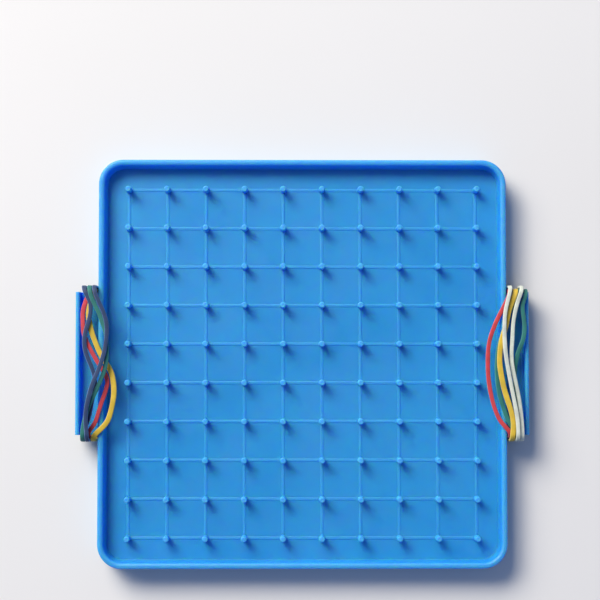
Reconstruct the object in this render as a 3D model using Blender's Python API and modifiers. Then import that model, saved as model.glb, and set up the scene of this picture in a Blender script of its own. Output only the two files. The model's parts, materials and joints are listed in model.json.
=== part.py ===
"""Geoboard: a moulded peg tray with a channel-shaped ear on each side and loose rubber bands round the ears.

Metres, +Z up. The origin is the centre of the tray on the plane that it rests on, with the pegs
pointing up and the ears at -X and +X.
"""

import math

import bmesh
import bpy
from mathutils import Matrix

MM = 0.001

# Tray
BOARD_SIDE = 155.0 * MM
CORNER_RADIUS = 9.3 * MM
WALL = 1.7 * MM  # at the skirt
RIM_WIDTH = 2.2 * MM
INNER_DRAFT = 1.0 * MM
INNER_FILLET = 2.0 * MM
FILLET_STEPS = 3
RIM_TOP = 11.0 * MM
PLATE_TOP = 5.0 * MM
PLATE_THICKNESS = 1.8 * MM
CORNER_SEGMENTS = 8

# Pegs and the low ribs that join them
PEG_COUNT = 10
PEG_PITCH = 14.75 * MM
PEG_RADIUS = 1.15 * MM
PEG_TOP = RIM_TOP
PEG_CHAMFER = 0.4 * MM
PEG_SIDES = 8
RIB_WIDTH = 1.0 * MM
RIB_HEIGHT = 0.35 * MM
ROOT_DEPTH = 0.5 * MM

# Round marks that the ejector pins leave in the plate
MARK_RADIUS = 2.8 * MM
MARK_DEPTH = 0.15 * MM
MARK_OFFSET = 2 * PEG_PITCH
MARK_SIDES = 16

# Ears
EAR_LENGTH = 54.2 * MM
EAR_REACH = 8.65 * MM
EAR_LIP = 1.7 * MM
EAR_UNDERSIDE = 4.4 * MM
EAR_FLOOR = 1.6 * MM
EAR_LIP_HEIGHT = 3.4 * MM

# Rubber bands: flat strips whose layers lie over each other
BAND_THICKNESS = 1.0 * MM
BAND_GAP = 0.25 * MM
LAYER_GAP = 0.2 * MM
LAYER_PITCH = BAND_THICKNESS + LAYER_GAP
FRONT_CORNER = 2.6 * MM
BACK_CORNER = 1.2 * MM
FRONT_STEPS = 20
BACK_STEPS = 6
CORNER_STEPS = 4

CUT_MARGIN = 2.0 * MM  # how far a cutter passes the surface that it opens
WELD = 0.001 * MM  # points nearer than this are one point

COLOURS = {
    "blue": (0.045, 0.27, 0.68),
    "red": (0.55, 0.045, 0.05),
    "yellow": (0.66, 0.46, 0.04),
    "white": (0.72, 0.74, 0.60),
    "green": (0.04, 0.20, 0.18),
    "navy": (0.02, 0.035, 0.08),
}
PLASTIC_ROUGHNESS = 0.35
RUBBER_ROUGHNESS = 0.6

# Each band: its colour and its width in millimetres, then its layers and its course. The layers say how
# far out the band lies over the front, at its upper end, at its lower end and behind the ear, where 1 is
# next to the moulding. The course is that of the front strand, from the upper end to the lower end, as
# (height on the board, distance from the board's middle line) in millimetres.
RIGHT_BANDS = {
    "band_right_red": ("red", 1.6, (1, 1, 1, 1), (
        (27.8, 78.7), (26, 78.55), (22, 76.6), (15.5, 73.3), (8, 70.7), (0, 70.15), (-7, 70.5), (-14.5, 71.9),
        (-19, 73.4), (-22.5, 75.2), (-26, 78.6), (-27.8, 78.7),
    )),
    "band_right_yellow": ("yellow", 2.0, (2, 1, 2, 2), (
        (27.8, 80.95), (25.5, 80.2), (22, 78.7), (19, 77.8), (14, 76.9), (8, 75.1), (1, 74.45), (-4, 75.0),
        (-10, 76.2), (-18, 78.7), (-23, 79.6), (-29.0, 79.2),
    )),
    "band_right_green_inner": ("green", 1.6, (1, 1, 1, 1), (
        (27.8, 82.9), (26, 82.8), (21, 79.0), (14, 76.9), (7, 74.5), (-1, 73.5), (-8, 73.9), (-13, 74.8),
        (-17, 76.0), (-23, 78.4), (-26, 80.6), (-27.8, 80.7),
    )),
    "band_right_green_outer": ("green", 1.6, (1, 1, 1, 1), (
        (27.8, 84.8), (26, 84.7), (22, 83.4), (14, 84.2), (9, 83.6), (4, 81.6), (-2, 80.4), (-8, 80.5),
        (-23, 82.6), (-27.8, 82.6),
    )),
    "band_right_white_inner": ("white", 1.5, (3, 2, 2, 3), (
        (29.0, 78.7), (24, 77.6), (19, 76.5), (12, 76.2), (4, 76.6), (-4, 77.85), (-11, 79.15), (-18, 80.5),
        (-23, 81.15), (-29.0, 81.25),
    )),
    "band_right_white_outer": ("white", 1.5, (2, 2, 2, 3), (
        (29.0, 83.2), (23, 81.3), (16, 79.8), (10, 79.4), (4, 79.0), (0, 79.1), (-4, 79.8), (-11, 81.3),
        (-17, 82.2), (-23, 82.8), (-29.0, 82.95),
    )),
}
LEFT_BANDS = {
    "band_left_yellow": ("yellow", 2.0, (1, 1, 2, 1), (
        (27.8, 78.9), (20, 80.9), (14, 80.4), (7, 78.0), (2, 75.6), (-3, 72.4), (-7, 71.5), (-11, 71.2),
        (-15, 71.7), (-19, 72.6), (-22.5, 73.9), (-25.6, 77.0), (-27.0, 78.8), (-29.0, 79.05),
    )),
    "band_left_red": ("red", 1.6, (1, 1, 1, 1), (
        (27.8, 80.95), (20, 83.1), (15, 83.1), (11, 82.8), (5, 80.1), (0.5, 77.5), (-6, 73.75), (-11, 74.6),
        (-15, 76.0), (-19, 77.2), (-23, 78.5), (-25.7, 80.8), (-27.8, 81.0),
    )),
    "band_left_navy_inner": ("navy", 1.6, (4, 2, 2, 2), (
        (29.0, 78.7), (24, 77.2), (19, 74.9), (14, 73.7), (8, 74.0), (4, 74.7), (0, 75.9), (-3.5, 77.2),
        (-7, 78.7), (-11, 80.0), (-19, 81.5), (-29.0, 81.0),
    )),
    "band_left_green": ("green", 1.6, (3, 2, 2, 2), (
        (29.0, 80.6), (24, 79.3), (19, 76.8), (15, 75.4), (11, 74.2), (4, 73.8), (0, 74.1), (-3.5, 74.9),
        (-7, 76.3), (-11, 78.1), (-15, 80.0), (-19, 81.4), (-25, 82.7), (-29.0, 82.9),
    )),
    "band_left_navy_outer": ("navy", 1.6, (2, 2, 1, 1), (
        (29.0, 82.9), (23, 80.2), (18, 80.3), (12, 82.0), (8, 82.5), (4, 81.8), (0, 80.2), (-4, 78.7),
        (-8, 78.2), (-14, 79.3), (-21, 80.7), (-27.8, 83.05),
    )),
}


def clear_scene():
    for obj in list(bpy.data.objects):
        bpy.data.objects.remove(obj, do_unlink=True)


def new_collection(name, is_helper=False):
    collection = bpy.data.collections.new(name)
    collection.hide_render = is_helper
    bpy.context.scene.collection.children.link(collection)
    return collection


def new_material(name, colour, roughness):
    material = bpy.data.materials.new(name)
    material.use_nodes = True
    shader = material.node_tree.nodes["Principled BSDF"]
    shader.inputs["Base Color"].default_value = (*colour, 1.0)
    shader.inputs["Roughness"].default_value = roughness
    shader.inputs["Metallic"].default_value = 0.0
    return material


def mesh_object(name, bm, collection):
    mesh = bpy.data.meshes.new(name)
    bm.to_mesh(mesh)
    bm.free()
    obj = bpy.data.objects.new(name, mesh)
    collection.objects.link(obj)
    return obj


def add_box(bm, low, high):
    """A box between two corners, added to bm."""
    size = [b - a for a, b in zip(low, high)]
    middle = [(a + b) / 2 for a, b in zip(low, high)]
    place = Matrix.Translation(middle) @ Matrix.Diagonal((*size, 1.0))
    bmesh.ops.create_cube(bm, size=1.0, matrix=place)


def add_prism(bm, radius, low_z, high_z, sides, at):
    """An upright prism whose flats face the axes. radius is from its middle to a flat."""
    corner_radius = radius / math.cos(math.pi / sides)
    place = Matrix.Translation((at[0], at[1], (low_z + high_z) / 2))
    turn = Matrix.Rotation(math.pi / sides, 4, "Z")
    bmesh.ops.create_cone(
        bm, cap_ends=True, segments=sides, radius1=corner_radius, radius2=corner_radius,
        depth=high_z - low_z, matrix=place @ turn,
    )


def rounded_block(side, radius, low_z, high_z):
    """A square block with its four upright edges rounded."""
    bm = bmesh.new()
    add_box(bm, (-side / 2, -side / 2, low_z), (side / 2, side / 2, high_z))
    upright = [e for e in bm.edges if abs(e.verts[0].co.z - e.verts[1].co.z) > WELD]
    bmesh.ops.bevel(
        bm, geom=upright, offset=radius, segments=CORNER_SEGMENTS, profile=0.5, affect="EDGES"
    )
    return bm


def tray_pocket():
    """Cutter for the inside of the tray: the wall leans outwards above a fillet round the plate."""
    foot = RIM_WIDTH + INNER_DRAFT
    profile = []
    for i in range(FILLET_STEPS + 1):
        turn = math.radians(90 * i / FILLET_STEPS)
        rise = INNER_FILLET * (1 - math.cos(turn))
        profile.append((foot + INNER_FILLET * (1 - math.sin(turn)), PLATE_TOP + rise))
    profile += [(RIM_WIDTH, RIM_TOP), (RIM_WIDTH, RIM_TOP + CUT_MARGIN)]
    bm = bmesh.new()
    loops = []
    for inset, z in profile:
        radius = CORNER_RADIUS - inset
        reach = BOARD_SIDE / 2 - CORNER_RADIUS
        loop = []
        for i in range(4 * (CORNER_SEGMENTS + 1)):
            quarter, step = divmod(i, CORNER_SEGMENTS + 1)
            turn = math.radians(90 * (quarter + step / CORNER_SEGMENTS))
            middle_x = reach if quarter in (0, 3) else -reach
            middle_y = reach if quarter in (0, 1) else -reach
            loop.append(bm.verts.new((
                middle_x + radius * math.cos(turn), middle_y + radius * math.sin(turn), z
            )))
        loops.append(loop)
    bm.faces.new(loops[0])
    bm.faces.new(loops[-1])
    for low, high in zip(loops, loops[1:]):
        for i in range(len(low)):
            bm.faces.new((low[i - 1], low[i], high[i], high[i - 1]))
    bmesh.ops.recalc_face_normals(bm, faces=bm.faces)
    return bm


def peg_positions():
    first = -PEG_PITCH * (PEG_COUNT - 1) / 2
    line = [first + PEG_PITCH * i for i in range(PEG_COUNT)]
    return [(x, y) for x in line for y in line]


def pegs():
    """All the pegs as one mesh of separate prisms, each with its top edge chamfered."""
    bm = bmesh.new()
    for at in peg_positions():
        add_prism(bm, PEG_RADIUS, PLATE_TOP - ROOT_DEPTH, PEG_TOP, PEG_SIDES, at)
    tops = [e for e in bm.edges if all(v.co.z > PEG_TOP - WELD for v in e.verts)]
    bmesh.ops.bevel(bm, geom=tops, offset=PEG_CHAMFER, segments=1, affect="EDGES")
    return bm


def ribs(along):
    """Ten low ribs along X (0) or Y (1), each from the first peg to the last."""
    bm = bmesh.new()
    reach = PEG_PITCH * (PEG_COUNT - 1) / 2
    for i in range(PEG_COUNT):
        across = -reach + PEG_PITCH * i
        low = [across - RIB_WIDTH / 2, across - RIB_WIDTH / 2, PLATE_TOP - ROOT_DEPTH]
        high = [across + RIB_WIDTH / 2, across + RIB_WIDTH / 2, PLATE_TOP + RIB_HEIGHT]
        low[along] = -reach
        high[along] = reach
        add_box(bm, low, high)
    return bm


def ejector_marks():
    """Cutter for the round marks: one in the middle and one two pegs away in each direction."""
    bm = bmesh.new()
    d = MARK_OFFSET
    for at in ((0, 0), (d, 0), (-d, 0), (0, d), (0, -d)):
        add_prism(bm, MARK_RADIUS, PLATE_TOP - MARK_DEPTH, PLATE_TOP + CUT_MARGIN, MARK_SIDES, at)
    return bm


def ear_blocks():
    """The two ears as solid blocks whose inner ends are buried in the tray's wall."""
    bm = bmesh.new()
    inner = BOARD_SIDE / 2 - WALL / 2
    outer = BOARD_SIDE / 2 + EAR_REACH
    top = EAR_UNDERSIDE + EAR_FLOOR + EAR_LIP_HEIGHT
    for low_x, high_x in ((inner, outer), (-outer, -inner)):
        add_box(bm, (low_x, -EAR_LENGTH / 2, EAR_UNDERSIDE), (high_x, EAR_LENGTH / 2, top))
    return bm


def ear_channels():
    """Cutter for the open-ended channel between the tray's wall and each ear's lip."""
    bm = bmesh.new()
    inner = BOARD_SIDE / 2
    outer = BOARD_SIDE / 2 + EAR_REACH - EAR_LIP
    reach = EAR_LENGTH / 2 + CUT_MARGIN
    floor = EAR_UNDERSIDE + EAR_FLOOR
    for low_x, high_x in ((inner, outer), (-outer, -inner)):
        add_box(bm, (low_x, -reach, floor), (high_x, reach, RIM_TOP + CUT_MARGIN))
    return bm


def make_board(parts, helpers):
    board = mesh_object("board", rounded_block(BOARD_SIDE, CORNER_RADIUS, 0, RIM_TOP), parts)
    board.data.materials.append(new_material("blue_plastic", COLOURS["blue"], PLASTIC_ROUGHNESS))
    inside = BOARD_SIDE - 2 * WALL
    inside_radius = CORNER_RADIUS - WALL
    steps = (
        ("tray_pocket", tray_pocket(), "DIFFERENCE"),
        ("underside_pocket", rounded_block(inside, inside_radius, -CUT_MARGIN, PLATE_TOP - PLATE_THICKNESS),
         "DIFFERENCE"),
        ("ear_blocks", ear_blocks(), "UNION"),
        ("ear_channels", ear_channels(), "DIFFERENCE"),
        ("ribs_along_x", ribs(0), "UNION"),
        ("ribs_along_y", ribs(1), "UNION"),
        ("pegs", pegs(), "UNION"),
        ("ejector_marks", ejector_marks(), "DIFFERENCE"),
    )
    for name, bm, operation in steps:
        tool = mesh_object(name, bm, helpers)
        tool.hide_render = True
        tool.display_type = "WIRE"
        modifier = board.modifiers.new(name, "BOOLEAN")
        modifier.object = tool
        modifier.operation = operation


def between(knots, at):
    """The value at a height, on a smooth curve through (height, value) knots that starts and ends level."""
    knots = sorted(knots)
    slopes = [0.0] * len(knots)
    for i in range(1, len(knots) - 1):
        slopes[i] = (knots[i + 1][1] - knots[i - 1][1]) / (knots[i + 1][0] - knots[i - 1][0])
    at = min(max(at, knots[0][0]), knots[-1][0])
    i = next(i for i in range(len(knots) - 1) if at <= knots[i + 1][0])
    (start, value), (end, next_value) = knots[i], knots[i + 1]
    span = end - start
    t = (at - start) / span
    return (
        (2 * t**3 - 3 * t**2 + 1) * value
        + (t**3 - 2 * t**2 + t) * span * slopes[i]
        + (3 * t**2 - 2 * t**3) * next_value
        + (t**3 - t**2) * span * slopes[i + 1]
    )


def corner(centre, radius, start_angle):
    """The points of a quarter turn, anticlockwise from start_angle, without its first point."""
    angles = [start_angle + math.pi / 2 * i / CORNER_STEPS for i in range(1, CORNER_STEPS + 1)]
    return [(centre[0] + radius * math.cos(a), centre[1] + radius * math.sin(a)) for a in angles]


def straight(start, end, steps):
    return [
        (start[0] + (end[0] - start[0]) * i / steps, start[1] + (end[1] - start[1]) * i / steps)
        for i in range(1, steps + 1)
    ]


def ring_outline(layers):
    """A band's loop round its ear, seen along X, as (y, z) points of its middle surface."""
    front_layer, upper_layer, lower_layer, back_layer = layers
    half = BAND_THICKNESS / 2
    end = EAR_LENGTH / 2 + BAND_GAP + half
    upper = end + LAYER_PITCH * (upper_layer - 1)
    lower = -end - LAYER_PITCH * (lower_layer - 1)
    front = RIM_TOP + BAND_GAP + half + LAYER_PITCH * (front_layer - 1)
    back = EAR_UNDERSIDE - BAND_GAP - half - LAYER_PITCH * (back_layer - 1)
    f = FRONT_CORNER
    b = BACK_CORNER
    points = [(lower + b, back)]
    points += straight(points[-1], (upper - b, back), BACK_STEPS)
    points += corner((upper - b, back + b), b, -math.pi / 2)
    points += straight(points[-1], (upper, front - f), 1)
    points += corner((upper - f, front - f), f, 0.0)
    points += straight(points[-1], (lower + f, front), FRONT_STEPS)
    points += corner((lower + f, front - f), f, math.pi / 2)
    points += straight(points[-1], (lower, back + b), 1)
    points += corner((lower + b, back + b), b, math.pi)
    return points[1:]


def outward_distance(course, y, z):
    """How far from the board's middle line a band's strip lies at a point of its loop."""
    if z > EAR_UNDERSIDE:
        return between(course, y / MM) * MM
    upper_end = max(course)
    lower_end = min(course)
    share = (y / MM - lower_end[0]) / (upper_end[0] - lower_end[0])
    return (lower_end[1] + (upper_end[1] - lower_end[1]) * min(max(share, 0.0), 1.0)) * MM


def make_band(name, side, spec, parts):
    """A closed strip: a flat loop drawn across X, pulled sideways along its course, then thickened."""
    colour, width, layers, course = spec
    origin = (side * (BOARD_SIDE + EAR_REACH) / 2, 0.0, EAR_UNDERSIDE + EAR_FLOOR)
    curve = bpy.data.curves.new(name + "_loop", "CURVE")
    curve.dimensions = "2D"
    curve.fill_mode = "NONE"
    curve.extrude = width * MM / 2
    points = ring_outline(layers)
    spline = curve.splines.new("POLY")
    spline.points.add(len(points) - 1)
    for point, (y, z) in zip(spline.points, points):
        point.co = (y, z, 0.0, 1.0)
    spline.use_cyclic_u = True
    loop = bpy.data.objects.new(name + "_loop", curve)
    parts.objects.link(loop)
    graph = bpy.context.evaluated_depsgraph_get()
    mesh = bpy.data.meshes.new_from_object(loop.evaluated_get(graph))
    bpy.data.objects.remove(loop, do_unlink=True)
    bm = bmesh.new()
    bm.from_mesh(mesh)
    bmesh.ops.remove_doubles(bm, verts=bm.verts, dist=WELD)
    for vertex in bm.verts:
        y, z, across = vertex.co
        x = side * outward_distance(course, y, z) + across
        vertex.co = (x - origin[0], y - origin[1], z - origin[2])
    bmesh.ops.recalc_face_normals(bm, faces=bm.faces)
    band = mesh_object(name, bm, parts)
    band.location = origin
    band.data.materials.append(new_material(name + "_rubber", COLOURS[colour], RUBBER_ROUGHNESS))
    thicken = band.modifiers.new("thickness", "SOLIDIFY")
    thicken.thickness = BAND_THICKNESS
    thicken.offset = 0.0
    thicken.use_even_offset = True


def main():
    clear_scene()
    parts = new_collection("geoboard")
    helpers = new_collection("cutters_and_additions", is_helper=True)
    make_board(parts, helpers)
    for side, bands in ((1, RIGHT_BANDS), (-1, LEFT_BANDS)):
        for name, spec in bands.items():
            make_band(name, side, spec, parts)


main()
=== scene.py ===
"""The looks of the geoboard: a fine moulded tray with its pegs, and rubber bands round its ears.

Everything is in metres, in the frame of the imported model. The tray is one closed mesh, joined with Booleans.
Each band is a thin strip, swept along its course over the face of an ear and back behind it.
"""

import json
import math

import bmesh
import bpy
import numpy as np
from mathutils import Matrix, Vector


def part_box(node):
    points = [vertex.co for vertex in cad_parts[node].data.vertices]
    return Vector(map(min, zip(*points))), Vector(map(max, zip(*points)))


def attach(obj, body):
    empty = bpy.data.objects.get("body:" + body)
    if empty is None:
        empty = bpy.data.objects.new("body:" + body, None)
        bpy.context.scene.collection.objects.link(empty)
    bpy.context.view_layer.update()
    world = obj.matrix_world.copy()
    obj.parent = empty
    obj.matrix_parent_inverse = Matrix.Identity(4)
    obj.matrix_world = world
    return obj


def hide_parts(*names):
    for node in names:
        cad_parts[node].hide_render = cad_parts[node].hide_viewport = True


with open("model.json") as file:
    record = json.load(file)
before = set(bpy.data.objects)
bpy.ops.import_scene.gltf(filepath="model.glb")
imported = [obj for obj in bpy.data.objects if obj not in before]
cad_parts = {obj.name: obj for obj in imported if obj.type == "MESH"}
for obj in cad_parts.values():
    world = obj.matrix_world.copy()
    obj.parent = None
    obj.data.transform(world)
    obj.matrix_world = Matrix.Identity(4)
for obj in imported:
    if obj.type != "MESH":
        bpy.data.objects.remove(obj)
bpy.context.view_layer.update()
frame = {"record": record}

MM = 0.001

# Tray sizes. The outer ones come from the CAD board, and the others follow its design, with finer edges.
BOARD_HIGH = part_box("board")[1]
HALF_SIDE = BOARD_HIGH.y
RIM_TOP = BOARD_HIGH.z
EAR_TIP = BOARD_HIGH.x
CORNER_RADIUS = 9.3 * MM
SKIRT_WALL = 1.7 * MM
RIM_WIDTH = 2.45 * MM
PLATE_TOP = 5.0 * MM
PLATE_BOTTOM = 3.2 * MM
PLATE_MARGIN = 2.0 * MM  # from the fillet at the wall's foot to the first loop on the plate
LIP_ROUND = 0.8 * MM
INNER_LIP_ROUND = 1.3 * MM
EDGE_ROUND = 0.3 * MM
INNER_DRAFT = 0.55 * MM
INNER_FILLET = 0.3 * MM
FILLET_STANDOFF = 0.85  # of its radius, from the foot of the leaning wall to the fillet's centre
UNDER_FILLET = 0.8 * MM
CORNER_STEPS = 16
ROUND_STEPS = 5
INNER_STEPS = 8
SINK = 0.4 * MM  # how far added parts reach into the plate
WELD = 0.001 * MM
SHARP_ANGLE = 40  # degrees

PEG_COUNT = 10
PEG_PITCH = 14.75 * MM
GRID_REACH = PEG_PITCH * (PEG_COUNT - 1) / 2
PEG_BASE_RADIUS = 1.2 * MM
PEG_TIP_RADIUS = 1.13 * MM
PEG_ROOT = 0.15 * MM
PEG_ROOT_SINK = 0.06 * MM
PEG_ROUND = 0.38 * MM
PEG_DIMPLE = 0.05 * MM
PEG_DIMPLE_STEPS = ((0.5, 0.25), (0.3, 1.0))  # (share of the tip's radius, share of the depth)
PEG_SIDES = 28
ROOT_STEPS = 3
RIB_WIDTH = 1.3 * MM
RIB_HEIGHT = 0.22 * MM
RIB_SHOULDER = ((0.0, 0.0), (0.08, 0.3), (0.2, 0.75), (0.34, 0.955))  # (mm from the side, share of height)

MARK_RADIUS = 2.8 * MM
MARK_DEPTH = 0.15 * MM
MARK_SLOPE = 0.25 * MM
MARK_OFFSET = 2 * PEG_PITCH
MARK_SIDES = 48
GATE_RADIUS = 1.4 * MM
GATE_NECK_RADIUS = 1.26 * MM
GATE_END_RADIUS = 1.12 * MM
GATE_END = 0.1 * MM
GATE_HEIGHT = 0.5 * MM
GATE_SIDES = 24

EAR_LENGTH = 54.2 * MM
EAR_UNDERSIDE = 4.4 * MM
EAR_FLOOR_TOP = 5.6 * MM
EAR_LIP_TOP = 9.9 * MM
EAR_LIP = 1.7 * MM
EAR_END_ROUND = 0.24 * MM
EAR_END_STEPS = 3

# Rubber bands
BAND_THICKNESS = 1.0 * MM
BAND_STEP = 0.6 * MM  # between sections along a band
FRONT_CORNER = 2.6 * MM
FRONT_STEPS = 10
BACK_CORNER = 1.2 * MM
BACK_STEPS = 6
SECTION_ROUND = 0.3 * MM
SECTION_STEPS = 3
SMOOTHING = 1.6 * MM
SWELLS = ((0.03, 5), (0.02, 11))  # (share of the width, waves round the band)
LEAN = math.radians(5)
LEAN_WAVES = 3

# Linear colours of the blue plastic. The pegs are painted paler as painted light, and the tops and ribs carry
# painted highlights
BLUE = (0.008, 0.261, 0.592)
BLUE_FLOW = (0.011, 0.285, 0.634)
BLUE_CLOUD = (0.016, 0.303, 0.646)
BLUE_PATCH = (0.026, 0.267, 0.619)
BLUE_PEG_PAINTED_LIGHT = (0.042, 0.360, 0.620)
BLUE_TOP_PAINTED_HIGHLIGHT = (0.057, 0.366, 0.535)
BLUE_RIB_PAINTED_HIGHLIGHT = (0.070, 0.370, 0.730)
PEG_PAINTED_LIGHT_SHARE = 0.8  # how far the pegs take on their painted light
# How far the ribs take on their painted highlight
RIB_PAINTED_HIGHLIGHT_SHARE = 0.2
GLOW_SCALE = 2.2 * MM
GLOW_REACH = (0.16, 0.5, 3.2)  # of red, green and blue, as multiples of GLOW_SCALE

# Where those colours fade in or out, as a start and an end
TOP_FADE = (-0.7 * MM, -0.1 * MM)  # from a top
PEG_FADE = (0.4 * MM, 1.5 * MM)  # from the plate
RIB_FADE = (0.05 * MM, 0.2 * MM)  # from the plate
RIB_END = (0.5 * MM, 0.7 * MM)  # from the plate
GRID_END = (2 * MM, 3 * MM)  # from the outer pegs
EAR_FADE = (1 * MM, 2 * MM)  # from the tray's side

# Noise, as cycles per metre, detail and roughness
FLOW = (28.0, 3.0, 0.55)
CLOUD = (11.0, 2.0, 0.5)
PATCHES = (95.0, 2.0, 0.6)
# The next noise makes the painted highlight on the tops patchy
TOP_HIGHLIGHT_PATCHES = (420.0, 2.0, 0.6)
SCUFFS = (900.0, 3.0, 0.6)
RIPPLE = (60.0, 2.0, 0.4)
GRAIN = (2600.0, 2.0, 0.5)
MOTTLE = (260.0, 3.0, 0.6)
DUST = (1400.0, 3.0, 0.7)
FLOOR_TONE = (6.0, 3.0, 0.5)

# Rubber
SHADED = 0.78  # of the face's colour, where it is mottled
CUT_MARKS = 16.0  # radians per millimetre along a band
NOISE_SHIFT = (0.37, 0.11, 0.23)  # metres from one band's noise to the next

# Studio lights, as place and size in metres, power in watts, and colour
WARM = (1.0, 0.975, 0.92)
WHITE_LIGHT = (1.0, 1.0, 1.0)
KEY = ((-0.86, 1.33, 1.42), 1.05, 48.0, WARM)
SIDE = ((-1.28, 1.06, 1.27), 1.0, 23.0, WARM)
GLINT = ((-0.35, 0.9, 0.5), 0.35, 2.2, WHITE_LIGHT)

# The rest of the studio
FILL_COLOUR = (0.37, 0.53, 1.0)
FILL_STRENGTH = 0.43
BACKDROP = (0.70, 0.71, 0.72)
FLOOR_COLOURS = ((0.71, 0.675, 0.61), (0.75, 0.71, 0.65))
FLOOR_SIZE = 3.0
FLOOR_DROP = 0.2 * MM
CAMERA_PLACE = (-8 * MM, -5 * MM, 640 * MM)
CAMERA_TARGET = (-1 * MM, 24 * MM, 11 * MM)
CAMERA_SENSOR = 36.0  # millimetres
CAMERA_LENS = 99.58  # millimetres


# ---------------------------------------------------------------- mesh helpers


def to_object(name, bm):
    bmesh.ops.recalc_face_normals(bm, faces=bm.faces)
    mesh = bpy.data.meshes.new(name)
    bm.to_mesh(mesh)
    bm.free()
    obj = bpy.data.objects.new(name, mesh)
    bpy.context.scene.collection.objects.link(obj)
    return obj


def arc(centre, radius, start, end, steps):
    """Points on a circle from one angle to another, in degrees, both ends included."""
    angles = [math.radians(start + (end - start) * i / steps) for i in range(steps + 1)]
    return [(centre[0] + radius * math.cos(a), centre[1] + radius * math.sin(a)) for a in angles]


def rounded_rectangle(half_x, half_y, radius, steps):
    """Points round a rectangle with rounded corners, about the middle."""
    points = []
    for quarter, (sx, sy) in enumerate(((1, 1), (-1, 1), (-1, -1), (1, -1))):
        corner = (sx * (half_x - radius), sy * (half_y - radius))
        points += arc(corner, radius, 90 * quarter, 90 * quarter + 90, steps)
    return points


def skin(bm, loops):
    """Faces between each closed loop of vertices and the next."""
    for one, two in zip(loops, loops[1:]):
        count = len(one)
        for i in range(count):
            j = (i + 1) % count
            bm.faces.new((one[i], one[j], two[j], two[i]))


def close(bm, loops):
    """A solid from loops of vertices: the faces between them, and one at each end."""
    skin(bm, loops)
    bm.faces.new(loops[0])
    bm.faces.new(loops[-1])


def lathe(bm, profile, at, sides):
    """A turned solid about an upright axis, from (radius, height) points that start and end on flats."""
    turns = [2 * math.pi * i / sides for i in range(sides)]
    loops = []
    for radius, z in profile:
        ring = [(at[0] + radius * math.cos(t), at[1] + radius * math.sin(t), z) for t in turns]
        loops.append([bm.verts.new(p) for p in ring])
    close(bm, loops)


def combine(target, tool, operation):
    """Applies one Boolean to target and removes the tool."""
    modifier = target.modifiers.new(operation, "BOOLEAN")
    modifier.operation = operation
    modifier.solver = "MANIFOLD"
    modifier.object = tool
    graph = bpy.context.evaluated_depsgraph_get()
    mesh = bpy.data.meshes.new_from_object(target.evaluated_get(graph))
    target.modifiers.clear()
    old = target.data
    target.data = mesh
    bpy.data.meshes.remove(old)
    bpy.data.objects.remove(tool, do_unlink=True)


# ---------------------------------------------------------------- the board


def tray_profile():
    """The tray's wall as (inset, height), from the plate's top over the rim and under the skirt."""
    lip, soft, edge = LIP_ROUND, INNER_LIP_ROUND, EDGE_ROUND
    draft = math.degrees(math.atan2(INNER_DRAFT, RIM_TOP - PLATE_TOP))
    foot = RIM_WIDTH + INNER_DRAFT
    inner_fillet = (foot + INNER_FILLET * FILLET_STANDOFF, PLATE_TOP + INNER_FILLET)
    under_fillet = (SKIRT_WALL + UNDER_FILLET, PLATE_BOTTOM - UNDER_FILLET)
    profile = [(foot + INNER_FILLET + PLATE_MARGIN, PLATE_TOP)]
    profile += arc(inner_fillet, INNER_FILLET, 270, 180 + draft, INNER_STEPS)
    profile += arc((RIM_WIDTH - soft, RIM_TOP - soft), soft, draft, 90, INNER_STEPS)
    profile += arc((lip, RIM_TOP - lip), lip, 90, 180, ROUND_STEPS)
    profile += arc((edge, edge), edge, 180, 270, ROUND_STEPS)
    profile += arc((SKIRT_WALL - edge, edge), edge, 270, 360, ROUND_STEPS)
    profile += arc(under_fillet, UNDER_FILLET, 180, 90, ROUND_STEPS)
    return profile


def tray():
    bm = bmesh.new()
    loops = []
    for inset, z in tray_profile():
        half = HALF_SIDE - inset
        outline = rounded_rectangle(half, half, CORNER_RADIUS - inset, CORNER_STEPS)
        loops.append([bm.verts.new((x, y, z)) for x, y in outline])
    close(bm, loops)
    return to_object("moulded_board", bm)


def grid_lines():
    return [-GRID_REACH + PEG_PITCH * i for i in range(PEG_COUNT)]


def pegs():
    """The pegs, each with a small root fillet, a slight taper, a rounded tip and a shallow dimple."""
    tip = PEG_TIP_RADIUS
    foot = PEG_BASE_RADIUS + PEG_ROOT
    root = PLATE_TOP - PEG_ROOT_SINK
    profile = [(foot, PLATE_TOP - SINK), (foot, root)]
    profile += arc((foot, root + PEG_ROOT), PEG_ROOT, 240, 180, ROOT_STEPS)
    profile += arc((tip - PEG_ROUND, RIM_TOP - PEG_ROUND), PEG_ROUND, 0, 90, ROUND_STEPS)
    profile += [(tip * share, RIM_TOP - PEG_DIMPLE * depth) for share, depth in PEG_DIMPLE_STEPS]
    bm = bmesh.new()
    for x in grid_lines():
        for y in grid_lines():
            lathe(bm, profile, (x, y), PEG_SIDES)
    return to_object("pegs", bm)


def ribs(along):
    """Low ridges with rounded shoulders along X (0) or Y (1), from the first peg to the last."""
    half = RIB_WIDTH / 2
    section = [(half - inset * MM, PLATE_TOP + share * RIB_HEIGHT) for inset, share in RIB_SHOULDER]
    section += [(-x, z) for x, z in reversed(section)]
    section += [(-half, PLATE_TOP - SINK), (half, PLATE_TOP - SINK)]
    bm = bmesh.new()
    for line in grid_lines():
        loops = []
        for end in (-GRID_REACH, GRID_REACH):
            places = [(line + across, end, z) for across, z in section]
            if along == 0:
                places = [(y, x, z) for x, y, z in places]
            loops.append([bm.verts.new(p) for p in places])
        close(bm, loops)
    return to_object("ribs", bm)


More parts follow.
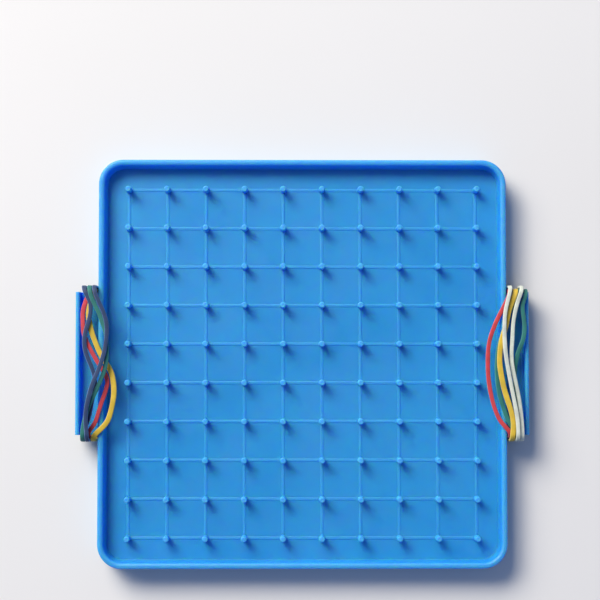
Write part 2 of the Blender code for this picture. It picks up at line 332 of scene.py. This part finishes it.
def ears():
    """Both ears: an L-shaped section with rounded edges, run along Y."""
    lip, edge, nook = LIP_ROUND, EDGE_ROUND, 2 * EDGE_ROUND
    root = HALF_SIDE - SKIRT_WALL / 2
    lip_back = EAR_TIP - EAR_LIP
    section = [(root, EAR_FLOOR_TOP), (root, EAR_UNDERSIDE)]
    section += arc((EAR_TIP - edge, EAR_UNDERSIDE + edge), edge, 270, 360, ROUND_STEPS)
    section += arc((EAR_TIP - lip, EAR_LIP_TOP - lip), lip, 0, 90, ROUND_STEPS)
    section += arc((lip_back + lip, EAR_LIP_TOP - lip), lip, 90, 180, ROUND_STEPS)
    section += arc((lip_back - nook, EAR_FLOOR_TOP + nook), nook, 360, 270, ROUND_STEPS)
    bm = bmesh.new()
    for side in (1, -1):
        ends = (-EAR_LENGTH / 2, EAR_LENGTH / 2)
        close(bm, [[bm.verts.new((side * x, end, z)) for x, z in section] for end in ends])
    rims = [e for e in bm.edges if abs(e.verts[0].co.y - e.verts[1].co.y) < WELD]
    bmesh.ops.bevel(
        bm, geom=rims, offset=EAR_END_ROUND, segments=EAR_END_STEPS, profile=0.5, affect="EDGES"
    )
    return to_object("ears", bm)


def ejector_marks():
    """Cutter for the faint round marks in the plate, with sloping sides."""
    profile = [(MARK_RADIUS - MARK_SLOPE, PLATE_TOP - MARK_DEPTH)]
    profile += [(MARK_RADIUS, PLATE_TOP), (MARK_RADIUS, RIM_TOP)]
    bm = bmesh.new()
    d = MARK_OFFSET
    for at in ((0, 0), (d, 0), (-d, 0), (0, d), (0, -d)):
        lathe(bm, profile, at, MARK_SIDES)
    return to_object("ejector_marks", bm)


def gate_stub():
    """The small trimmed stub of the injection gate, under the middle of the plate."""
    low = PLATE_BOTTOM - GATE_HEIGHT
    profile = [(GATE_END_RADIUS, low), (GATE_NECK_RADIUS, low + GATE_END)]
    profile += [(GATE_RADIUS, PLATE_BOTTOM + SINK)]
    bm = bmesh.new()
    lathe(bm, profile, (0, 0), GATE_SIDES)
    return to_object("gate_stub", bm)


def make_board():
    board = tray()
    for part in (ears(), ribs(0), ribs(1), pegs()):
        combine(board, part, "UNION")
    combine(board, ejector_marks(), "DIFFERENCE")
    combine(board, gate_stub(), "UNION")
    board.data.shade_smooth()
    board.data.set_sharp_from_angle(angle=math.radians(SHARP_ANGLE))
    weigh = board.modifiers.new("normals", "WEIGHTED_NORMAL")
    weigh.keep_sharp = True
    board.data.materials.clear()
    board.data.materials.append(board_plastic())
    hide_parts("board")
    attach(board, "board")


# ---------------------------------------------------------------- the rubber bands


def between(knots, at):
    """Smooth curve through (y, x) knots, level at both ends."""
    knots = np.array(sorted(knots))
    y, x = knots[:, 0], knots[:, 1]
    slopes = np.zeros(len(y))
    slopes[1:-1] = (x[2:] - x[:-2]) / (y[2:] - y[:-2])
    at = np.clip(at, y[0], y[-1])
    i = np.clip(np.searchsorted(y, at) - 1, 0, len(y) - 2)
    gap = y[i + 1] - y[i]
    t = (at - y[i]) / gap
    rise = 3 * t**2 - 2 * t**3
    bend = gap * ((t**3 - 2 * t**2 + t) * slopes[i] + (t**3 - t**2) * slopes[i + 1])
    return x[i] + (x[i + 1] - x[i]) * rise + bend


def loop_in_side_view(node):
    """The middle line of a band as (y, z), a rounded rectangle, with points BAND_STEP apart."""
    low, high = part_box(node)
    half = BAND_THICKNESS / 2
    y0, y1 = low.y + half, high.y - half
    z0, z1 = low.z + half, high.z - half
    f, b = FRONT_CORNER, BACK_CORNER
    outline = arc((y1 - b, z0 + b), b, 270, 360, BACK_STEPS)
    outline += arc((y1 - f, z1 - f), f, 0, 90, FRONT_STEPS)
    outline += arc((y0 + f, z1 - f), f, 90, 180, FRONT_STEPS)
    outline += arc((y0 + b, z0 + b), b, 180, 270, BACK_STEPS)
    outline = np.array(outline + outline[:1])
    gaps = np.linalg.norm(np.diff(outline, axis=0), axis=1)
    lengths = np.concatenate([[0], np.cumsum(gaps)])
    at = np.linspace(0, lengths[-1], int(lengths[-1] / BAND_STEP), endpoint=False)
    return np.stack([np.interp(at, lengths, outline[:, axis]) for axis in (0, 1)], axis=1)


def smooth_ring(values, reach):
    """Values round a closed ring, averaged with a bell-shaped window."""
    offsets = np.arange(-3 * reach, 3 * reach + 1)
    window = np.exp(-0.5 * (offsets / reach) ** 2)
    window /= window.sum()
    total = np.zeros_like(values)
    for offset, share in zip(offsets, window):
        total += share * np.roll(values, offset, axis=0)
    return total


def band_path(node, course):
    """The middle line of a band in three dimensions."""
    side = 1 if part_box(node)[1].x > 0 else -1
    side_view = loop_in_side_view(node)
    y, z = side_view[:, 0], side_view[:, 1]
    front = between(course, y / MM) * MM
    low, high = min(course), max(course)
    share = np.clip((y / MM - low[0]) / (high[0] - low[0]), 0, 1)
    back = (low[1] + (high[1] - low[1]) * share) * MM
    x = np.where(z > EAR_UNDERSIDE, front, back)
    x = smooth_ring(x, max(1, int(SMOOTHING / BAND_STEP)))
    return np.stack([side * x, y, z], axis=1)


def band_mesh(path, width, seed):
    """A strip swept round its path. Its width and lean waver a little, and it stores how near to an edge
    each point lies and how far along the band."""
    phase = np.random.default_rng(seed).uniform(0, 2 * math.pi, 3)
    count = len(path)
    turn = np.arange(count) / count * 2 * math.pi
    swell = 1 + sum(share * np.sin(waves * turn + shift) for (share, waves), shift in zip(SWELLS, phase))
    lean = LEAN * np.sin(LEAN_WAVES * turn + phase[2])
    forward = np.roll(path, -1, axis=0) - np.roll(path, 1, axis=0)
    forward /= np.linalg.norm(forward, axis=1)[:, None]
    steps = np.linalg.norm(np.diff(path, axis=0), axis=1)
    lengths = np.concatenate([[0], np.cumsum(steps)])
    section = rounded_rectangle(width / 2, BAND_THICKNESS / 2, SECTION_ROUND, SECTION_STEPS)
    bm = bmesh.new()
    edge_layer = bm.verts.layers.float.new("edge")
    along_layer = bm.verts.layers.float.new("along")
    loops = []
    for i in range(count):
        tangent = Vector(forward[i])
        across = Vector((1, 0, 0))
        across = (across - across.dot(tangent) * tangent).normalized()
        twist = Matrix.Rotation(lean[i], 3, tangent)
        out = twist @ tangent.cross(across)
        across = twist @ across
        loop = []
        for a, b in section:
            vertex = bm.verts.new(Vector(path[i]) + across * (a * swell[i]) + out * b)
            vertex[edge_layer] = abs(a) / (width / 2)
            vertex[along_layer] = lengths[i] / MM
            loop.append(vertex)
        loops.append(loop)
    skin(bm, loops + loops[:1])
    return bm


def body_with(node):
    bodies = frame["record"]["behaviour"]["bodies"]
    return next(body for body, nodes in bodies.items() if node in nodes)


def make_band(node, colours, width, course, seed):
    name = node.replace("band_", "rubber_band_")
    band = to_object(name, band_mesh(band_path(node, course), width * MM, seed))
    band.data.shade_smooth()
    band.data.materials.append(rubber(name, colours, seed))
    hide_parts(node)
    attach(band, body_with(node))


# ---------------------------------------------------------------- materials


class Nodes:
    """A short way to write a material's nodes."""

    def __init__(self, name):
        self.material = bpy.data.materials.new(name)
        self.material.use_nodes = True
        self.tree = self.material.node_tree
        self.shader = self.tree.nodes["Principled BSDF"]

    def add(self, kind, settings=None, **inputs):
        node = self.tree.nodes.new(kind)
        for key, value in (settings or {}).items():
            setattr(node, key, value)
        for key, value in inputs.items():
            self.put(node, key, value)
        return node

    def put(self, node, key, value):
        socket = node.inputs[int(key)] if key.isdigit() else node.inputs[key]
        if isinstance(value, bpy.types.NodeSocket):
            self.tree.links.new(value, socket)
        else:
            socket.default_value = value

    def shade(self, key, value):
        self.put(self.shader, key, value)

    def math(self, operation, a, b=0.0):
        node = self.add("ShaderNodeMath", {"operation": operation})
        self.put(node, "0", a)
        self.put(node, "1", b)
        return node.outputs[0]

    def place(self):
        return self.add("ShaderNodeTexCoord").outputs["Object"]

    def attribute(self, name):
        return self.add("ShaderNodeAttribute", {"attribute_name": name}).outputs["Fac"]

    def noise(self, vector, scale, detail, roughness):
        node = self.add("ShaderNodeTexNoise", None, Scale=scale, Detail=detail, Roughness=roughness)
        self.put(node, "Vector", vector)
        return node.outputs["Fac"]

    def remap(self, value, low, high, new_low=0.0, new_high=1.0):
        """A soft step from new_low, at low and below, to new_high, at high and above."""
        node = self.add("ShaderNodeMapRange", {"interpolation_type": "SMOOTHSTEP"})
        for key, number in zip("01234", (value, low, high, new_low, new_high)):
            self.put(node, key, number)
        return node.outputs[0]

    def fade_in(self, value, base, fade):
        return self.remap(value, base + fade[0], base + fade[1])

    def fade_out(self, value, base, fade):
        return self.remap(value, base + fade[0], base + fade[1], 1.0, 0.0)

    def mix(self, share, one, two):
        node = self.add("ShaderNodeMix", {"data_type": "RGBA"})
        self.put(node, "0", share)
        self.put(node, "6", one)
        self.put(node, "7", two)
        return node.outputs[2]

    def bump(self, height, strength, distance, normal=None):
        node = self.add("ShaderNodeBump", None, Strength=strength, Distance=distance)
        self.put(node, "Height", height)
        if normal is not None:
            self.put(node, "Normal", normal)
        return node.outputs["Normal"]


def rgba(colour):
    return (*colour, 1.0)


def board_regions(n, place):
    """Masks of where painted light goes: the pegs, the tops of the rim, pegs and ears, and the ribs, from
    where a point lies.
    """
    separate = n.add("ShaderNodeSeparateXYZ")
    n.put(separate, "0", place)
    x, y, height = separate.outputs
    outward = n.math("ABSOLUTE", x)
    reach = n.math("MAXIMUM", outward, n.math("ABSOLUTE", y))
    in_grid = n.fade_out(reach, GRID_REACH, GRID_END)
    on_ear = n.fade_in(outward, HALF_SIDE, EAR_FADE)
    ear_top_highlight_mask = n.math("MULTIPLY", on_ear, n.fade_in(height, EAR_LIP_TOP, TOP_FADE))
    peg_painted_light_mask = n.math("MULTIPLY", in_grid, n.fade_in(height, PLATE_TOP, PEG_FADE))
    top = n.math("MAXIMUM", n.fade_in(height, RIM_TOP, TOP_FADE), ear_top_highlight_mask)
    rib_painted_highlight_mask = n.math("MULTIPLY", n.fade_in(height, PLATE_TOP, RIB_FADE), n.fade_out(height, PLATE_TOP, RIB_END))
    return peg_painted_light_mask, top, rib_painted_highlight_mask


def board_plastic():
    """Satin blue polypropylene: faint flow marks, painted light on the pegs, painted highlights on the tops
    and ribs, and a fine moulding texture.
    """
    n = Nodes("board_plastic")
    place = n.place()
    peg_painted_light_mask, top, rib_painted_highlight_mask = board_regions(n, place)
    flow = n.noise(place, *FLOW)
    cloud = n.remap(n.noise(place, *CLOUD), 0.35, 0.65, 0.0, 0.5)
    patches = n.remap(n.noise(place, *PATCHES), 0.4, 0.65, 0.0, 0.55)
    # Patchiness of the painted highlight on the tops
    patchy_top_highlight = n.remap(n.noise(place, *TOP_HIGHLIGHT_PATCHES), 0.25, 0.75, 0.55, 1.0)
    base = n.mix(n.remap(flow, 0.3, 0.7), rgba(BLUE), rgba(BLUE_FLOW))
    base = n.mix(cloud, base, rgba(BLUE_CLOUD))
    base = n.mix(patches, base, rgba(BLUE_PATCH))
    # Painted light: the pegs' stems and tips are painted paler, as if lit
    base = n.mix(n.math("MULTIPLY", peg_painted_light_mask, PEG_PAINTED_LIGHT_SHARE), base, rgba(BLUE_PEG_PAINTED_LIGHT))
    # Painted highlight on the tops of the rim, pegs and ears, patchy
    base = n.mix(n.math("MULTIPLY", top, patchy_top_highlight), base, rgba(BLUE_TOP_PAINTED_HIGHLIGHT))
    # Painted highlight on the ribs
    base = n.mix(n.math("MULTIPLY", rib_painted_highlight_mask, RIB_PAINTED_HIGHLIGHT_SHARE), base, rgba(BLUE_RIB_PAINTED_HIGHLIGHT))
    satin = n.remap(flow, 0.3, 0.7, 0.42, 0.50)
    scuffs = n.remap(n.noise(place, *SCUFFS), 0.35, 0.7, 0.0, 0.08)
    normal = n.bump(n.noise(place, *RIPPLE), 0.25, 0.12 * MM)
    normal = n.bump(n.noise(place, *GRAIN), 0.12, 0.03 * MM, normal)
    n.shade("Base Color", base)
    n.shade("Roughness", n.math("ADD", satin, scuffs))
    n.shade("Subsurface Weight", 1.0)
    n.shade("Subsurface Radius", GLOW_REACH)
    n.shade("Subsurface Scale", GLOW_SCALE)
    n.shade("Specular IOR Level", 0.45)
    n.shade("Normal", normal)
    return n.material


def rubber(name, colours, seed):
    """Rubber cut from a tube: dusty, with a patchy painted highlight along its edges, and fine marks across
    it.
    """
    body_colour, edge_highlight_colour = colours
    darker = tuple(c * SHADED for c in body_colour)
    dust_colour = tuple(0.5 * c + 0.25 * max(edge_highlight_colour) + 0.04 for c in edge_highlight_colour)
    n = Nodes(name)
    shifted = n.add("ShaderNodeVectorMath", {"operation": "ADD"})
    n.put(shifted, "0", n.place())
    n.put(shifted, "1", [seed * shift for shift in NOISE_SHIFT])
    spot = shifted.outputs[0]
    edge = n.attribute("edge")
    patchy = n.noise(spot, *MOTTLE)
    dusty = n.noise(spot, *DUST)
    # Painted highlight along the band's edges, patchy
    edge_highlight = n.math("MULTIPLY", n.remap(edge, 0.72, 0.98), n.remap(patchy, 0.25, 0.6, 0.45, 0.9))
    base = n.mix(n.remap(patchy, 0.3, 0.7), rgba(darker), rgba(body_colour))
    base = n.mix(edge_highlight, base, rgba(edge_highlight_colour))
    base = n.mix(n.remap(dusty, 0.55, 0.8, 0.0, 0.22), base, rgba(dust_colour))
    cuts = n.math("SINE", n.math("MULTIPLY", n.attribute("along"), CUT_MARKS))
    cut_depth = n.math("MULTIPLY", cuts, n.remap(edge, 0.85, 1.0))
    normal = n.bump(dusty, 0.3, 0.05 * MM)
    normal = n.bump(cut_depth, 0.15, 0.03 * MM, normal)
    n.shade("Base Color", base)
    n.shade("Roughness", n.remap(dusty, 0.3, 0.7, 0.5, 0.72))
    n.shade("Sheen Weight", 0.15)
    n.shade("Specular IOR Level", 0.4)
    n.shade("Normal", normal)
    return n.material


def floor_paint():
    n = Nodes("floor_paint")
    faint = n.noise(n.place(), *FLOOR_TONE)
    n.shade("Base Color", n.mix(faint, rgba(FLOOR_COLOURS[0]), rgba(FLOOR_COLOURS[1])))
    n.shade("Roughness", 0.8)
    return n.material


# ---------------------------------------------------------------- the studio


def make_floor():
    bm = bmesh.new()
    bmesh.ops.create_grid(bm, x_segments=1, y_segments=1, size=FLOOR_SIZE)
    floor = to_object("floor", bm)
    floor.location.z = -FLOOR_DROP
    floor.data.materials.append(floor_paint())


def aim(obj, target):
    """Turns an object's -Z towards a target, with its own Y as near to the model's Y as it can be."""
    along = (Vector(target) - obj.location).normalized()
    right = along.cross(Vector((0, 1, 0))).normalized()
    up = right.cross(along)
    obj.rotation_euler = Matrix((right, up, -along)).transposed().to_euler()


def area_light(name, place, size, power, colour):
    light = bpy.data.lights.new(name, "AREA")
    light.size = size
    light.energy = power
    light.color = colour
    obj = bpy.data.objects.new(name, light)
    bpy.context.scene.collection.objects.link(obj)
    obj.location = place
    aim(obj, (0, 0, 0))
    return obj


def make_world():
    """A blue fill on every surface, and a plain pale backdrop where the camera sees past the floor."""
    world = bpy.data.worlds.new("studio")
    bpy.context.scene.world = world
    world.use_nodes = True
    tree = world.node_tree
    fill = tree.nodes["Background"]
    fill.inputs["Color"].default_value = rgba(FILL_COLOUR)
    fill.inputs["Strength"].default_value = FILL_STRENGTH
    backdrop = tree.nodes.new("ShaderNodeBackground")
    backdrop.inputs["Color"].default_value = rgba(BACKDROP)
    rays = tree.nodes.new("ShaderNodeLightPath")
    choice = tree.nodes.new("ShaderNodeMixShader")
    tree.links.new(rays.outputs["Is Camera Ray"], choice.inputs[0])
    tree.links.new(fill.outputs[0], choice.inputs[1])
    tree.links.new(backdrop.outputs[0], choice.inputs[2])
    tree.links.new(choice.outputs[0], tree.nodes["World Output"].inputs["Surface"])


def make_light():
    """A soft key and a soft side light from the upper left, and a small light that only makes glints."""
    area_light("key", *KEY)
    area_light("side", *SIDE)
    area_light("glint", *GLINT).visible_diffuse = False


def make_camera():
    """Nearly straight down from well above half a metre, with the board a little below the middle."""
    camera = bpy.data.objects.new("camera", bpy.data.cameras.new("camera"))
    bpy.context.scene.collection.objects.link(camera)
    camera.location = CAMERA_PLACE
    aim(camera, CAMERA_TARGET)
    camera.data.sensor_width = CAMERA_SENSOR
    camera.data.lens = CAMERA_LENS
    bpy.context.scene.camera = camera
    bpy.context.scene.view_settings.view_transform = "Standard"


# ---------------------------------------------------------------- the scene


# Linear colours of each rubber: its face and the painted highlight along its edges
RED = ((0.56, 0.040, 0.045), (0.70, 0.12, 0.11))
YELLOW = ((0.66, 0.435, 0.030), (0.72, 0.54, 0.10))
WHITE = ((0.65, 0.67, 0.53), (0.72, 0.73, 0.60))
GREEN = ((0.016, 0.16, 0.125), (0.055, 0.29, 0.235))
NAVY = ((0.016, 0.040, 0.105), (0.14, 0.25, 0.50))

# Each band: its CAD node, material slot, colours and width in mm, and its course over the face of the ear
# as (y, distance from the board's middle) in mm.
BANDS = (
    ("band_right_red", "red_rubber", RED, 1.6, (
        (27.8, 78.7), (26, 78.55), (22, 76.6), (15.5, 73.3), (8, 70.7), (0, 70.15), (-7, 70.5), (-14.5, 71.9),
        (-19, 73.4), (-22.5, 75.2), (-26, 78.6), (-27.8, 78.7),
    )),
    ("band_right_yellow", "yellow_rubber", YELLOW, 2.0, (
        (27.8, 80.95), (25.5, 80.2), (22, 78.7), (19, 77.8), (14, 76.9), (8, 75.1), (1, 74.45), (-4, 75.0),
        (-10, 76.2), (-18, 78.7), (-23, 79.6), (-29.0, 79.2),
    )),
    ("band_right_green_inner", "green_rubber", GREEN, 1.6, (
        (27.8, 82.9), (26, 82.8), (21, 79.0), (14, 76.9), (7, 74.5), (-1, 73.5), (-8, 73.9), (-13, 74.8),
        (-17, 76.0), (-23, 78.4), (-26, 80.6), (-27.8, 80.7),
    )),
    ("band_right_green_outer", "green_rubber", GREEN, 1.6, (
        (27.8, 84.8), (26, 84.7), (22, 83.4), (14, 84.2), (9, 83.6), (4, 81.6), (-2, 80.4), (-8, 80.5),
        (-23, 82.6), (-27.8, 82.6),
    )),
    ("band_right_white_inner", "white_rubber", WHITE, 1.5, (
        (29.0, 78.7), (24, 77.6), (19, 76.5), (12, 76.2), (4, 76.6), (-4, 77.85), (-11, 79.15), (-18, 80.5),
        (-23, 81.15), (-29.0, 81.25),
    )),
    ("band_right_white_outer", "white_rubber", WHITE, 1.5, (
        (29.0, 83.2), (23, 81.3), (16, 79.8), (10, 79.4), (4, 79.0), (0, 79.1), (-4, 79.8), (-11, 81.3),
        (-17, 82.2), (-23, 82.8), (-29.0, 82.95),
    )),
    ("band_left_yellow", "yellow_rubber", YELLOW, 2.0, (
        (27.8, 78.9), (20, 80.9), (14, 80.4), (7, 78.0), (2, 75.6), (-3, 72.4), (-7, 71.5), (-11, 71.2),
        (-15, 71.7), (-19, 72.6), (-22.5, 73.9), (-25.6, 77.0), (-27.0, 78.8), (-29.0, 79.05),
    )),
    ("band_left_red", "red_rubber", RED, 1.6, (
        (27.8, 80.95), (20, 83.1), (15, 83.1), (11, 82.8), (5, 80.1), (0.5, 77.5), (-6, 73.75), (-11, 74.6),
        (-15, 76.0), (-19, 77.2), (-23, 78.5), (-25.7, 80.8), (-27.8, 81.0),
    )),
    ("band_left_navy_inner", "navy_rubber", NAVY, 1.6, (
        (29.0, 78.7), (24, 77.2), (19, 74.9), (14, 73.7), (8, 74.0), (4, 74.7), (0, 75.9), (-3.5, 77.2),
        (-7, 78.7), (-11, 80.0), (-19, 81.5), (-29.0, 81.0),
    )),
    ("band_left_green", "green_rubber", GREEN, 1.6, (
        (29.0, 80.6), (24, 79.3), (19, 76.8), (15, 75.4), (11, 74.2), (4, 73.8), (0, 74.1), (-3.5, 74.9),
        (-7, 76.3), (-11, 78.1), (-15, 80.0), (-19, 81.4), (-25, 82.7), (-29.0, 82.9),
    )),
    ("band_left_navy_outer", "navy_rubber", NAVY, 1.6, (
        (29.0, 82.9), (23, 80.2), (18, 80.3), (12, 82.0), (8, 82.5), (4, 81.8), (0, 80.2), (-4, 78.7),
        (-8, 78.2), (-14, 79.3), (-21, 80.7), (-27.8, 83.05),
    )),
)

make_board()
for seed, (node, slot, colours, width, course) in enumerate(BANDS):
    make_band(node, colours, width, course, seed)
make_floor()
make_light()
make_world()
make_camera()
